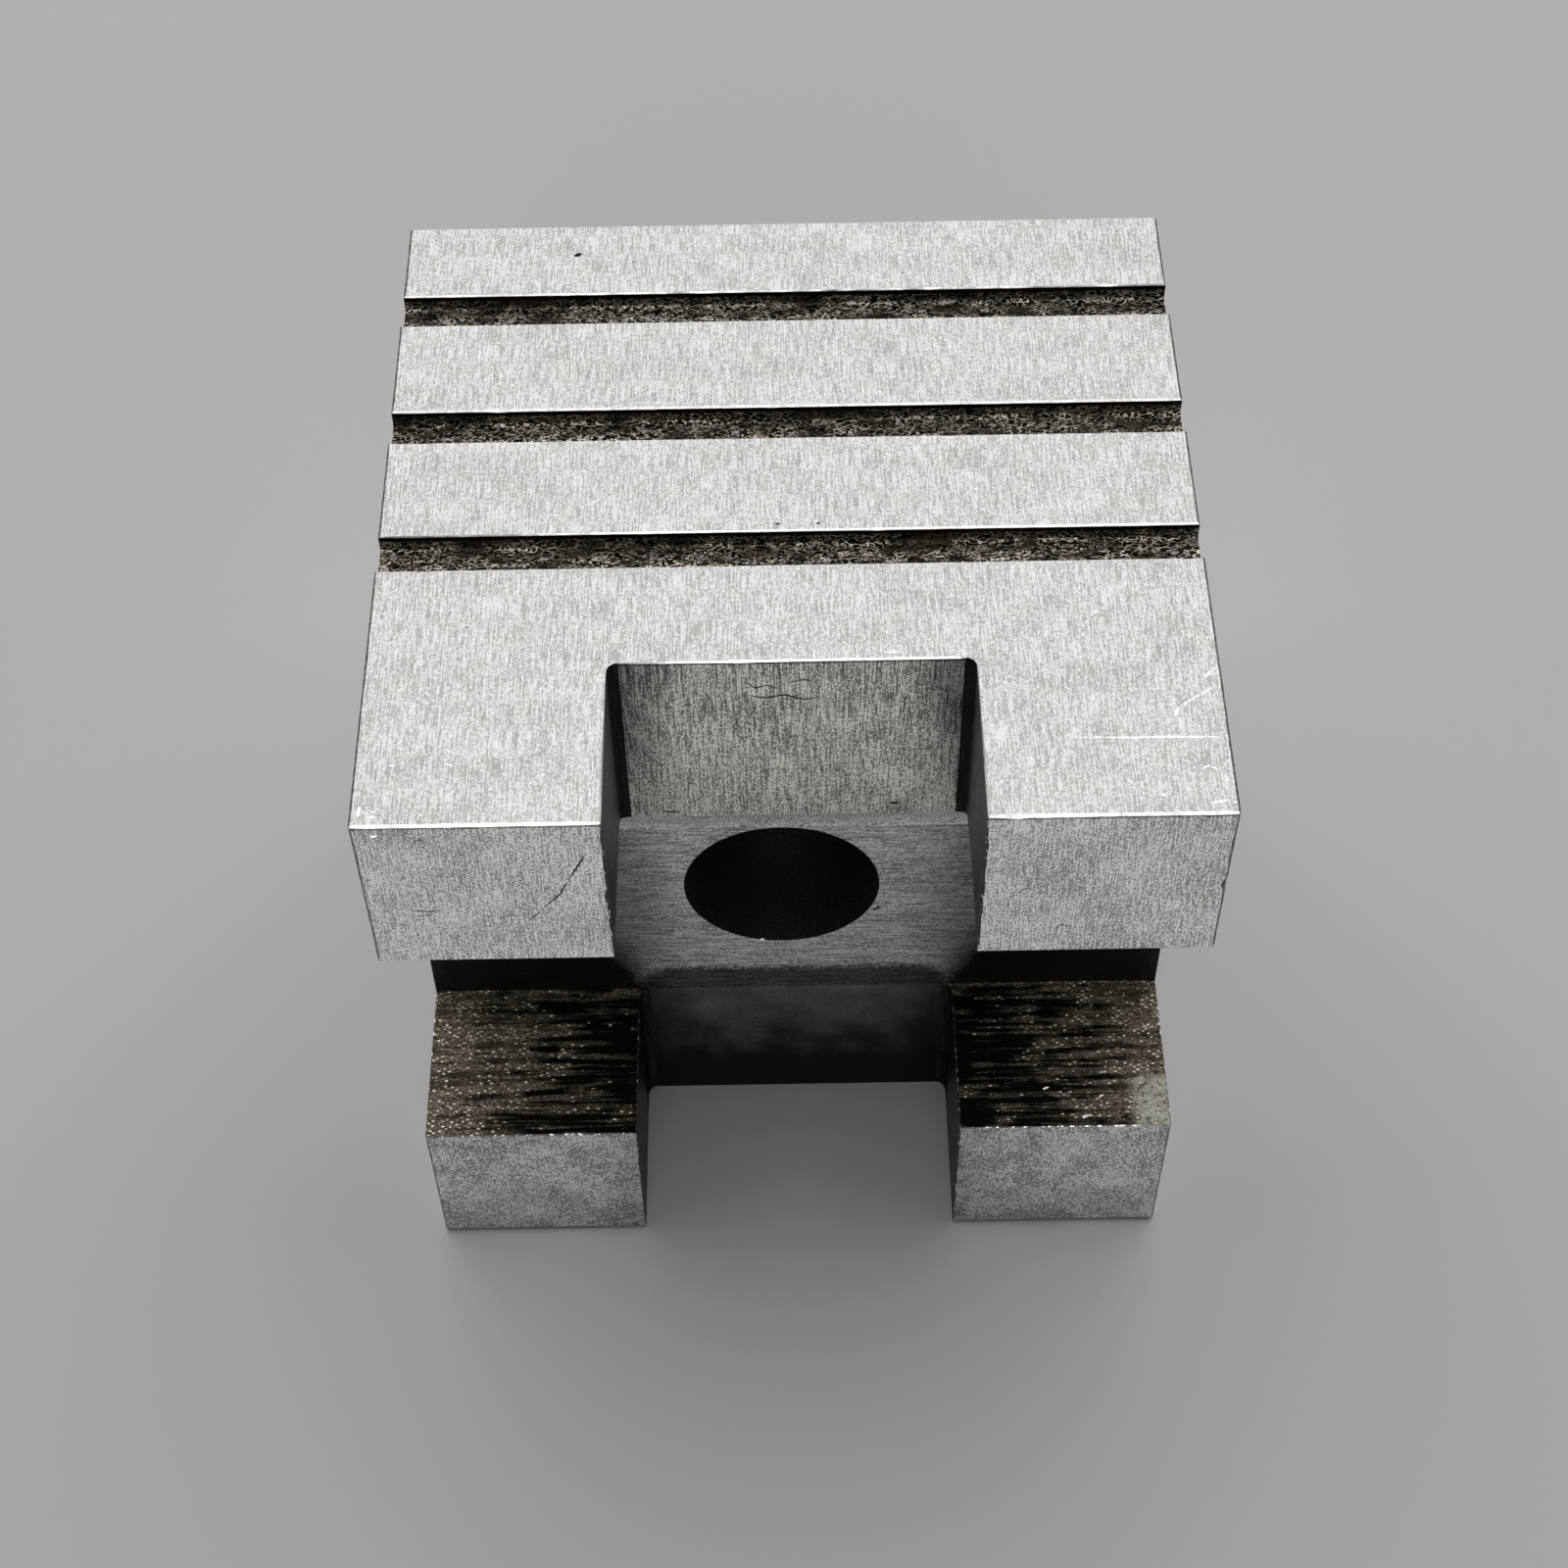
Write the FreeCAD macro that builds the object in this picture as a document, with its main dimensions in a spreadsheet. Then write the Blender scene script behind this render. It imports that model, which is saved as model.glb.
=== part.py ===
import FreeCAD, Part
import enum
import os
import Sketcher

# Bench block: one solid steel cube used as a clamping and locating block.
# The origin is the middle of the base, +Z is up and the worked front faces -Y.
# An upright slot and a level channel cross on the front and leave four pads.
# Below the channel the slot is cut deeper, so that its wall is flush with the channel's.
# A bore runs from the crossing to the back, and three grooves cross the top.

# Driving dimensions in millimetres, apart from groove_count.
SIZES = {
    # Outside of the block
    "block_width": 60.0,
    "block_depth": 60.0,
    "block_height": 60.0,
    "edge_break": 0.15,
    # Upright slot, centred on the width and open at the front, top and base
    "slot_width": 26.0,
    "slot_depth": 14.0,
    "slot_corner_radius": 0.8,
    # Level channel, open at the front and at both sides, with a sharp lower corner
    "channel_height": 28.2,
    "channel_depth": 15.8,
    "channel_upper_radius": 6.35,
    # Pads below the channel, set back a little from the pads above it
    "lower_pad_height": 15.7,
    "lower_pad_setback": 1.9,
    # Bore, placed from the middle of the crossing: up, and to the left
    "bore_diameter": 15.5,
    "bore_rise": 0.4,
    "bore_offset": 1.0,
    # Grooves across the top, behind the land at the front
    "front_land": 23.1,
    "groove_width": 3.3,
    "groove_depth": 1.5,
    "groove_pitch": 12.8,
    "groove_corner_radius": 0.4,
    "groove_count": 3,
    # Distance that each cut runs past the face that it enters
    "cut_overrun": 2.0,
}

NODE = "block"


class Axis(enum.IntEnum):
    """A sketch's own axes, as its constraints number them."""

    LEVEL = -1
    UPRIGHT = -2


class Point(enum.IntEnum):
    """The points of a line, arc or circle, as constraints number them."""

    START = 1
    END = 2
    CENTRE = 3


# A sketch's origin is the start of its level axis
ORIGIN = (Axis.LEVEL, Point.START)


def size(name):
    """Expression that reads one size from the sheet."""
    return f"Sizes.{name}"


def origin_feature(role):
    """Plane or axis of the body's own origin."""
    return next(item for item in body.Origin.OriginFeatures if item.Role == role)


def new_sketch(name, role, shift):
    """Sketch on an origin plane, moved in that plane by the expressions in shift."""
    sketch = body.newObject("Sketcher::SketchObject", name)
    sketch.AttachmentSupport = [(origin_feature(role), "")]
    sketch.MapMode = "FlatFace"
    for direction, expression in shift.items():
        sketch.setExpression(f"AttachmentOffset.Base.{direction}", expression)
    sketch.Visibility = False
    return sketch


def constrain(sketch, *constraint):
    """Add one geometric constraint."""
    return sketch.addConstraint(Sketcher.Constraint(*constraint))


def dimension(sketch, name, expression, *constraint):
    """Add one named dimension that follows an expression."""
    index = constrain(sketch, *constraint)
    sketch.renameConstraint(index, name)
    sketch.setExpression(f"Constraints.{name}", expression)


def draw_line(sketch, start, end):
    """Line between two points of the sketch plane."""
    segment = Part.LineSegment(FreeCAD.Vector(*start, 0), FreeCAD.Vector(*end, 0))
    return sketch.addGeometry(segment, False)


def draw_loop(sketch, points):
    """Closed loop of level and upright lines from point to point."""
    following_points = points[1:] + points[:1]
    lines = [draw_line(sketch, start, end) for start, end in zip(points, following_points)]
    for line, following in zip(lines, lines[1:] + lines[:1]):
        constrain(sketch, "Coincident", line, Point.END, following, Point.START)
    for line, start, end in zip(lines, points, following_points):
        constrain(sketch, "Vertical" if start[0] == end[0] else "Horizontal", line)
    return lines


def draw_corner(sketch, centre, start, end):
    """Rounded corner, and which of its own points lie at start and at end."""
    centre, start, end = [FreeCAD.Vector(*point, 0) for point in (centre, start, end)]
    radius = centre.distanceToPoint(start)
    outward = ((start + end) * 0.5 - centre).normalize()
    arc = sketch.addGeometry(Part.Arc(start, centre + outward * radius, end), False)
    is_forward = sketch.getPoint(arc, Point.START).distanceToPoint(start) < radius / 2
    return (arc, Point.START, Point.END) if is_forward else (arc, Point.END, Point.START)


def draw_recess(sketch, mouth, floor, left, right, radius):
    """Three-sided recess with two equal rounded corners at its floor.

    It is cut along the sketch's upright axis, from its mouth to its floor.
    Returns its mouth, left side, floor and right side, and one corner's arc.
    """
    arc_start = floor - radius if floor > mouth else floor + radius

    left_side = draw_line(sketch, (left, mouth), (left, arc_start))
    left_arc, left_arc_side, left_arc_floor = draw_corner(
        sketch, (left + radius, arc_start), (left, arc_start), (left + radius, floor))
    floor_line = draw_line(sketch, (left + radius, floor), (right - radius, floor))
    right_arc, right_arc_side, right_arc_floor = draw_corner(
        sketch, (right - radius, arc_start), (right, arc_start), (right - radius, floor))
    right_side = draw_line(sketch, (right, arc_start), (right, mouth))
    mouth_line = draw_line(sketch, (right, mouth), (left, mouth))

    constrain(sketch, "Tangent", left_side, Point.END, left_arc, left_arc_side)
    constrain(sketch, "Tangent", left_arc, left_arc_floor, floor_line, Point.START)
    constrain(sketch, "Tangent", floor_line, Point.END, right_arc, right_arc_floor)
    constrain(sketch, "Tangent", right_arc, right_arc_side, right_side, Point.START)
    constrain(sketch, "Coincident", right_side, Point.END, mouth_line, Point.START)
    constrain(sketch, "Coincident", mouth_line, Point.END, left_side, Point.START)
    constrain(sketch, "Equal", left_arc, right_arc)
    for side in (left_side, right_side):
        constrain(sketch, "Vertical", side)
    for level_line in (floor_line, mouth_line):
        constrain(sketch, "Horizontal", level_line)
    return mouth_line, left_side, floor_line, right_side, left_arc


def cut(name, sketch, height=None):
    """Pocket of a sketch: right through the body, or up from its plane by an expression."""
    before = body.Tip.Shape.Volume
    pocket = body.newObject("PartDesign::Pocket", name)
    pocket.Profile = sketch
    if height:
        pocket.Type = "Length"
        pocket.Reversed = True
        pocket.setExpression("Length", height)
    else:
        pocket.Type = "ThroughAll"
        pocket.SideType = "Symmetric"
    doc.recompute()
    if pocket.Shape.Volume >= before:
        raise RuntimeError(f"{name} removed nothing")
    return pocket


# Document, sheet of sizes and the body

doc = FreeCAD.newDocument("BenchBlock")
sheet = doc.addObject("Spreadsheet::Sheet", "Sizes")
for row, (alias, value) in enumerate(SIZES.items(), start=1):
    sheet.set(f"A{row}", alias.replace("_", " "))
    sheet.set(f"B{row}", str(value))
    sheet.setAlias(f"B{row}", alias)
doc.recompute()

body = doc.addObject("PartDesign::Body", "Block")
body.Label = NODE

# Side profiles start at the front face, and the slot's profile does too
front_face = f"-{size('block_depth')} / 2"
overrun = SIZES["cut_overrun"]


# Blank: side outline with the lower front set back, padded over the width

outline = new_sketch("SideOutline", "YZ_Plane", {"x": front_face})
depth = SIZES["block_depth"]
height = SIZES["block_height"]
setback = SIZES["lower_pad_setback"]
middle_height = SIZES["lower_pad_height"] + SIZES["channel_height"] / 2
middle_of_channel = f"{size('lower_pad_height')} + {size('channel_height')} / 2"

base, back, _, upper_front, step, _ = draw_loop(outline, [
    (setback, 0),
    (depth, 0),
    (depth, height),
    (0, height),
    (0, middle_height),
    (setback, middle_height),
])
constrain(outline, "PointOnObject", base, Point.START, Axis.LEVEL)
constrain(outline, "PointOnObject", upper_front, Point.START, Axis.UPRIGHT)
dimension(outline, "depth", size("block_depth"), "DistanceX", *ORIGIN, back, Point.START, depth)
dimension(outline, "height", size("block_height"), "DistanceY", back, Point.START, back, Point.END, height)
dimension(outline, "setback", size("lower_pad_setback"),
          "DistanceX", *ORIGIN, base, Point.START, setback)
dimension(outline, "step_height", middle_of_channel,
          "DistanceY", *ORIGIN, step, Point.START, middle_height)

blank = body.newObject("PartDesign::Pad", "Blank")
blank.Profile = outline
blank.setExpression("Length", size("block_width"))
blank.SideType = "Symmetric"
doc.recompute()


# Broken outside edges. The level edges of the step stay sharp: the channel removes them.

outside_edges = [
    f"Edge{number}"
    for number, edge in enumerate(blank.Shape.Edges, start=1)
    if any(abs(corner.Z - middle_height) > SIZES["edge_break"] for corner in edge.Vertexes)
]
edge_break = body.newObject("PartDesign::Chamfer", "EdgeBreak")
edge_break.Base = (blank, outside_edges)
edge_break.setExpression("Size", size("edge_break"))
doc.recompute()


# Level channel across the front, rounded where its back wall meets its ceiling

channel = new_sketch("ChannelProfile", "YZ_Plane", {"x": front_face})
channel_low = SIZES["lower_pad_height"]
channel_high = channel_low + SIZES["channel_height"]
channel_depth = SIZES["channel_depth"]
channel_floor, channel_wall, _, mouth_line = draw_loop(channel, [
    (-overrun, channel_low),
    (channel_depth, channel_low),
    (channel_depth, channel_high),
    (-overrun, channel_high),
])
dimension(channel, "overrun", size("cut_overrun"),
          "DistanceX", mouth_line, Point.START, *ORIGIN, overrun)
dimension(channel, "depth", size("channel_depth"),
          "DistanceX", *ORIGIN, channel_wall, Point.START, channel_depth)
dimension(channel, "low", size("lower_pad_height"),
          "DistanceY", *ORIGIN, channel_floor, Point.START, channel_low)
dimension(channel, "height", size("channel_height"),
          "DistanceY", channel_wall, Point.START, channel_wall, Point.END, SIZES["channel_height"])
channel_cut = cut("Channel", channel)

inner_corner = FreeCAD.Vector(0, channel_depth - depth / 2, channel_high)
corner_edge = next(
    f"Edge{number}"
    for number, edge in enumerate(channel_cut.Shape.Edges, start=1)
    if edge.CenterOfMass.distanceToPoint(inner_corner) < SIZES["edge_break"]
)
upper_corner = body.newObject("PartDesign::Fillet", "ChannelUpperCorner")
upper_corner.Base = (channel_cut, [corner_edge])
upper_corner.setExpression("Radius", size("channel_upper_radius"))
doc.recompute()


# Upright slot down the front, cut deeper below the channel

def draw_slot(name, depth_size):
    """Sketch of the slot's section, as deep as the named size."""
    section = new_sketch(name, "XY_Plane", {"y": front_face})
    half_slot = SIZES["slot_width"] / 2
    mouth_line, left_side, floor_line, right_side, corner = draw_recess(
        section, -overrun, SIZES[depth_size], -half_slot, half_slot, SIZES["slot_corner_radius"])
    dimension(section, "overrun", size("cut_overrun"),
              "DistanceY", mouth_line, Point.START, *ORIGIN, overrun)
    dimension(section, "depth", size(depth_size),
              "DistanceY", *ORIGIN, floor_line, Point.START, SIZES[depth_size])
    dimension(section, "left", f"{size('slot_width')} / 2",
              "DistanceX", left_side, Point.START, *ORIGIN, half_slot)
    dimension(section, "width", size("slot_width"),
              "DistanceX", left_side, Point.START, right_side, Point.END, SIZES["slot_width"])
    dimension(section, "corner", size("slot_corner_radius"),
              "Radius", corner, SIZES["slot_corner_radius"])
    return section


slot = draw_slot("SlotProfile", "slot_depth")
cut("Slot", slot)
lower_slot = draw_slot("LowerSlotProfile", "channel_depth")
cut("LowerSlot", lower_slot, size("lower_pad_height"))


# Bore from the crossing to the back

bore = new_sketch("BoreProfile", "XZ_Plane", {})
bore_height = middle_height + SIZES["bore_rise"]
bore_centre = FreeCAD.Vector(-SIZES["bore_offset"], bore_height, 0)
sketch_normal = FreeCAD.Vector(0, 0, 1)
ring = bore.addGeometry(Part.Circle(bore_centre, sketch_normal, SIZES["bore_diameter"] / 2), False)
dimension(bore, "diameter", size("bore_diameter"), "Diameter", ring, SIZES["bore_diameter"])
dimension(bore, "offset", size("bore_offset"),
          "DistanceX", ring, Point.CENTRE, *ORIGIN, SIZES["bore_offset"])
dimension(bore, "height", f"{middle_of_channel} + {size('bore_rise')}",
          "DistanceY", *ORIGIN, ring, Point.CENTRE, bore_height)
cut("Bore", bore)


# Grooves across the top

groove = new_sketch("GrooveProfile", "YZ_Plane", {"x": front_face, "y": size("block_height")})
groove_near = SIZES["front_land"]
mouth_line, left_side, floor_line, right_side, corner = draw_recess(
    groove, overrun, -SIZES["groove_depth"],
    groove_near, groove_near + SIZES["groove_width"], SIZES["groove_corner_radius"])
dimension(groove, "overrun", size("cut_overrun"),
          "DistanceY", *ORIGIN, mouth_line, Point.START, overrun)
dimension(groove, "depth", size("groove_depth"),
          "DistanceY", floor_line, Point.START, *ORIGIN, SIZES["groove_depth"])
dimension(groove, "land", size("front_land"),
          "DistanceX", *ORIGIN, left_side, Point.START, groove_near)
dimension(groove, "width", size("groove_width"),
          "DistanceX", left_side, Point.START, right_side, Point.END, SIZES["groove_width"])
dimension(groove, "corner", size("groove_corner_radius"),
          "Radius", corner, SIZES["groove_corner_radius"])
first_groove = cut("Groove", groove)

grooves = body.newObject("PartDesign::LinearPattern", "Grooves")
grooves.Originals = [first_groove]
grooves.Direction = (origin_feature("Y_Axis"), [""])
grooves.Mode = "Spacing"
grooves.setExpression("Offset", size("groove_pitch"))
grooves.setExpression("Occurrences", size("groove_count"))
body.Tip = grooves
doc.recompute()


# Checks, then the solid is written

for item in doc.Objects:
    if "Invalid" in item.State or "Error" in item.State:
        raise RuntimeError(f"{item.Name} failed: {item.State}")
for sketch in (outline, channel, slot, lower_slot, bore, groove):
    if not sketch.FullyConstrained:
        raise RuntimeError(f"{sketch.Name} isn't fully constrained")
solid = body.Shape
if solid.isNull() or not solid.isValid() or len(solid.Solids) != 1:
    raise RuntimeError("the block isn't one valid solid")

os.makedirs("parts", exist_ok=True)
solid.exportStep(f"parts/{NODE}.step")
box = solid.BoundBox
print(f"{body.Label}: {box.XLength:.2f} x {box.YLength:.2f} x {box.ZLength:.2f} mm, "
      f"{solid.Volume:.1f} cubic mm, {len(solid.Faces)} faces")
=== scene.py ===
import math

import bmesh
import bpy
from mathutils import Matrix, Vector, kdtree, noise


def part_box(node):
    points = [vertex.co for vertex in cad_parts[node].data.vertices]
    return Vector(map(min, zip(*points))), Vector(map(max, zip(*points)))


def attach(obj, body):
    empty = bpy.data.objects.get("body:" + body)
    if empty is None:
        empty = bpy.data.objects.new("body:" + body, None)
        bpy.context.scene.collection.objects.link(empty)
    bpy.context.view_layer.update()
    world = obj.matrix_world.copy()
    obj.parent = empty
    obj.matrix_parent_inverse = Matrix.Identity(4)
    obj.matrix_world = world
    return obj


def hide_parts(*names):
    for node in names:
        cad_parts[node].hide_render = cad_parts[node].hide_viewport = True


# Bench block: one steel cube, ground outside and left rough in its cuts.
# Metres, +Z up, the slotted front faces -Y, the origin is the middle of the base.

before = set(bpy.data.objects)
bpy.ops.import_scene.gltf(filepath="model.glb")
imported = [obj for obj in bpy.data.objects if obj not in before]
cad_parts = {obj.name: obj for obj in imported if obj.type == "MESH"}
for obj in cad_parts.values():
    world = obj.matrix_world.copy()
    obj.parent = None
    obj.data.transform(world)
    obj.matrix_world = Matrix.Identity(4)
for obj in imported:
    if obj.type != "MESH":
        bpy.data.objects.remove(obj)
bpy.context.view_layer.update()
LOW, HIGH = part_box("block")

MM = 0.001
PAST = 2 * MM

# Cuts in the block
SLOT_HALF = 13 * MM
SLOT_BACK = LOW.y + 14 * MM
SLOT_CORNER = 0.8 * MM
CHANNEL_LOW = 15.7 * MM
CHANNEL_HIGH = 43.9 * MM
CHANNEL_BACK = LOW.y + 15.8 * MM
CHANNEL_UPPER_CORNER = 6.35 * MM
LOWER_SETBACK = 1.9 * MM
BORE_CENTRE = Vector((-1 * MM, 0, 30.2 * MM))
BORE_RADIUS = 7.75 * MM
GROOVE_NEAR = [LOW.y + (23.1 + 12.8 * step) * MM for step in range(3)]
GROOVE_WIDTH = 3.3 * MM
GROOVE_FLOOR = HIGH.z - 1.5 * MM
GROOVE_CORNER = 0.4 * MM

# Arch on the wall between the lower pads, below which it is dark with scale
SCALE_HALF = 12.6 * MM
SCALE_TOP = 18.8 * MM
SCALE_CORNER = 2.8 * MM

# Widths of the edges, as broken by hand
FOOT_EDGE = 0.35 * MM
OUTER_EDGE = 0.15 * MM
LAND_EDGE = 0.12 * MM
INNER_EDGE = 0.06 * MM

# Least angle, in radians, between the faces of an edge that counts as square
SQUARE_ANGLE = 1.2

# Wear of the edges: the spacing of its points, the reach of its fading towards a corner, and how much
# more it takes along the front of the lands
WEAR_STEP = 0.45 * MM
WEAR_FADE = 1 * MM
FRONT_WEAR = 2.6

# How near two places count as the same
HAIR = 0.001 * MM
NEAR = 0.01 * MM


# Modelling helpers

def deselect_objects():
    for item in bpy.context.selected_objects:
        item.select_set(False)


def activate(piece):
    """Make a piece the only selected and the active object."""
    deselect_objects()
    piece.select_set(True)
    bpy.context.view_layer.objects.active = piece


def settle(name):
    """Keep a new primitive's place in its mesh, and name it."""
    bpy.ops.object.transform_apply(location=True, rotation=True, scale=True)
    piece = bpy.context.object
    piece.name = name
    return piece


def add_box(name, low, high):
    """Box between two corners."""
    deselect_objects()
    middle = (Vector(low) + Vector(high)) / 2
    bpy.ops.mesh.primitive_cube_add(size=1, location=middle, scale=Vector(high) - Vector(low))
    return settle(name)


def select_in_mesh(piece, mode, wanted):
    """Open a piece in edit mode with the wanted vertices, edges or faces selected."""
    activate(piece)
    bpy.ops.object.mode_set(mode="EDIT")
    bpy.ops.mesh.select_mode(type=mode)
    bpy.ops.mesh.select_all(action="DESELECT")
    mesh = bmesh.from_edit_mesh(piece.data)
    members = {"VERT": mesh.verts, "EDGE": mesh.edges, "FACE": mesh.faces}[mode]
    for member in members:
        if wanted(member):
            member.select_set(True)
    mesh.select_flush_mode()
    bmesh.update_edit_mesh(piece.data)


def leave_mesh():
    """Close edit mode."""
    bpy.ops.object.mode_set(mode="OBJECT")


def finish_slot(piece, name):
    """Number of a piece's material slot for a finish, which is added if it lacks one."""
    if name not in piece.data.materials:
        piece.data.materials.append(FINISHES[name])
    return piece.data.materials.find(name)


def give_finish(piece, name, wanted):
    """Give a finish to the wanted faces of a piece."""
    slot = finish_slot(piece, name)
    select_in_mesh(piece, "FACE", wanted)
    piece.active_material_index = slot
    bpy.ops.object.material_slot_assign()
    leave_mesh()


def round_edges(piece, wanted, radius, segments):
    """Round the wanted edges of a piece."""
    select_in_mesh(piece, "EDGE", wanted)
    bpy.ops.mesh.bevel(offset=radius, segments=segments, profile=0.5, clamp_overlap=False)
    leave_mesh()


def break_edges(piece, name, width, wanted):
    """Chamfer the wanted edges of a piece, with a finish of their own."""
    slot = finish_slot(piece, name)
    select_in_mesh(piece, "EDGE", wanted)
    bpy.ops.mesh.bevel(offset=width, segments=1, profile=0.5, clamp_overlap=False, material=slot)
    leave_mesh()


def runs_along(edge, axis):
    """Whether an edge is straight along X, Y or Z (0, 1 or 2)."""
    along = (edge.verts[1].co - edge.verts[0].co).normalized()
    return abs(along[axis]) > 0.999


def lies_at(edge, axis, place):
    """Whether both ends of an edge have the same coordinate, within a hair."""
    return all(abs(vertex.co[axis] - place) < HAIR for vertex in edge.verts)


def cut(piece, cutter):
    """Cut a cutter's shape out of a piece, and keep the finish of the cutter's faces."""
    activate(piece)
    boolean = piece.modifiers.new("cut", "BOOLEAN")
    boolean.operation = "DIFFERENCE"
    boolean.solver = "EXACT"
    boolean.material_mode = "TRANSFER"
    boolean.object = cutter
    bpy.ops.object.modifier_apply(modifier=boolean.name)
    bpy.data.objects.remove(cutter)


def slice_faces(piece, name, axis, step):
    """Divide the faces of one finish by planes across an axis, a step apart."""
    slot = piece.data.materials.find(name)
    mesh = bmesh.new()
    mesh.from_mesh(piece.data)
    across = Vector([float(axis == index) for index in range(3)])

    def reach(face):
        places = [vertex.co[axis] for vertex in face.verts]
        return min(places), max(places)

    ahead = [(face, *reach(face)) for face in mesh.faces if face.material_index == slot]
    end = max(high for _, _, high in ahead)
    place = min(low for _, low, _ in ahead) + step
    while place < end - step / 2:
        ahead = [(face, low, high) for face, low, high in ahead if high > place]
        crossed = [face for face, low, _ in ahead if low < place]
        edges = list({edge for face in crossed for edge in face.edges})
        made = bmesh.ops.bisect_plane(
            mesh, geom=crossed + edges, plane_co=across * place, plane_no=across)
        produced = {item for item in made["geom"] if isinstance(item, bmesh.types.BMFace)}
        ahead = [entry for entry in ahead if entry[0] not in produced]
        ahead += [(face, *reach(face)) for face in produced]
        place += step
    mesh.to_mesh(piece.data)
    mesh.free()


# Finishes: each is named here and its nodes are made further on

FINISHES = {}
for finish_name in (
        "ground_top", "ground_front", "ground_side", "ground_back", "leg_front", "slot_back", "slot_side",
        "slot_corner", "leg_side", "channel_wall", "channel_curve", "scaled_wall", "ledge_rough",
        "groove_rough", "bore_wall", "foot_shadow_edge", "bright_edge", "outline_shade_edge", "specked_edge",
        "fresh_mark", "dark_mark"):
    FINISHES[finish_name] = bpy.data.materials.new(finish_name)
    FINISHES[finish_name].use_nodes = True


# The block's shape

def shape_blank():
    """Cube with its lower front set back."""
    blank = add_box("block_body", LOW, HIGH)
    for height in (CHANNEL_LOW + PAST, CHANNEL_HIGH - PAST):
        select_in_mesh(blank, "FACE", lambda face: True)
        bpy.ops.mesh.bisect(plane_co=(0, 0, height), plane_no=(0, 0, 1))
        leave_mesh()
    middle = (CHANNEL_LOW + CHANNEL_HIGH) / 2
    select_in_mesh(blank, "VERT", lambda v: v.co.z < middle and v.co.y < 0)
    bpy.ops.transform.translate(value=(0, LOWER_SETBACK, 0))
    leave_mesh()
    give_finish(blank, "ground_top", lambda face: abs(face.normal.z) > 0.9)
    give_finish(blank, "ground_side", lambda face: abs(face.normal.x) > 0.9)
    give_finish(blank, "ground_front", lambda face: face.normal.y < -0.5)
    give_finish(blank, "ground_back", lambda face: face.normal.y > 0.5)
    give_finish(blank, "leg_front",
                lambda face: face.normal.y < -0.9 and face.calc_center_median().z < CHANNEL_LOW)
    return blank


def cut_channel(block):
    """Cut the level channel, open at both sides."""
    cutter = add_box("channel_cutter", (LOW.x - PAST, LOW.y - PAST, CHANNEL_LOW),
                     (HIGH.x + PAST, CHANNEL_BACK, CHANNEL_HIGH))
    round_edges(cutter, lambda e: runs_along(e, 0) and lies_at(e, 1, CHANNEL_BACK)
                and lies_at(e, 2, CHANNEL_HIGH), CHANNEL_UPPER_CORNER, 24)
    give_finish(cutter, "channel_wall", lambda face: True)
    give_finish(cutter, "channel_curve", lambda face: 0.05 < face.normal.z < 0.95)
    give_finish(cutter, "ledge_rough", lambda face: face.normal.z < -0.9)
    cut(block, cutter)


def cut_slot(block, top, back, wall, side, corner):
    """Cut the slot up to a height and back to a depth, with finishes for its three parts."""
    cutter = add_box("slot_cutter", (-SLOT_HALF, LOW.y - PAST, LOW.z - PAST), (SLOT_HALF, back, top))
    round_edges(cutter, lambda e: runs_along(e, 2) and lies_at(e, 1, back), SLOT_CORNER, 8)
    give_finish(cutter, corner, lambda face: True)
    give_finish(cutter, side, lambda face: abs(face.normal.x) > 0.999)
    give_finish(cutter, wall, lambda face: face.normal.y > 0.999)
    cut(block, cutter)


def cut_bore(block):
    """Cut the bore through to the back."""
    deselect_objects()
    bpy.ops.mesh.primitive_cylinder_add(vertices=96, radius=BORE_RADIUS, depth=HIGH.y - LOW.y + 2 * PAST,
                                        location=BORE_CENTRE, rotation=(math.pi / 2, 0, 0))
    cutter = settle("bore_cutter")
    give_finish(cutter, "bore_wall", lambda face: True)
    cut(block, cutter)


def cut_grooves(block):
    """Cut the three grooves across the top."""
    for near in GROOVE_NEAR:
        cutter = add_box("groove_cutter", (LOW.x - PAST, near, GROOVE_FLOOR),
                         (HIGH.x + PAST, near + GROOVE_WIDTH, HIGH.z + PAST))
        round_edges(cutter, lambda e: runs_along(e, 0) and lies_at(e, 2, GROOVE_FLOOR), GROOVE_CORNER, 3)
        give_finish(cutter, "groove_rough", lambda face: True)
        cut(block, cutter)


def is_outward(edge):
    """Whether an edge is a square one that stands out."""
    return edge.is_convex and edge.calc_face_angle() > SQUARE_ANGLE


def is_bore_rim(edge):
    """Whether both ends of an edge lie on the bore's wall."""
    return all(abs((vertex.co - BORE_CENTRE).xz.length - BORE_RADIUS) < NEAR for vertex in edge.verts)


def is_outside(edge):
    """Whether an edge lies along one of the sides, the back or the base of the block."""
    return any(lies_at(edge, axis, place) for axis, place in (
        (0, LOW.x), (0, HIGH.x), (1, HIGH.y), (2, LOW.z)))


def is_groove_end(edge):
    """Whether an edge is the end of a groove, in one of the sides of the block."""
    return (all(vertex.co.z > GROOVE_FLOOR - NEAR for vertex in edge.verts)
            and not lies_at(edge, 2, HIGH.z))


def is_foot_front(edge):
    """Whether an edge is the lower front edge of one of the lower pads."""
    return lies_at(edge, 2, LOW.z) and lies_at(edge, 1, LOW.y + LOWER_SETBACK)


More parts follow.
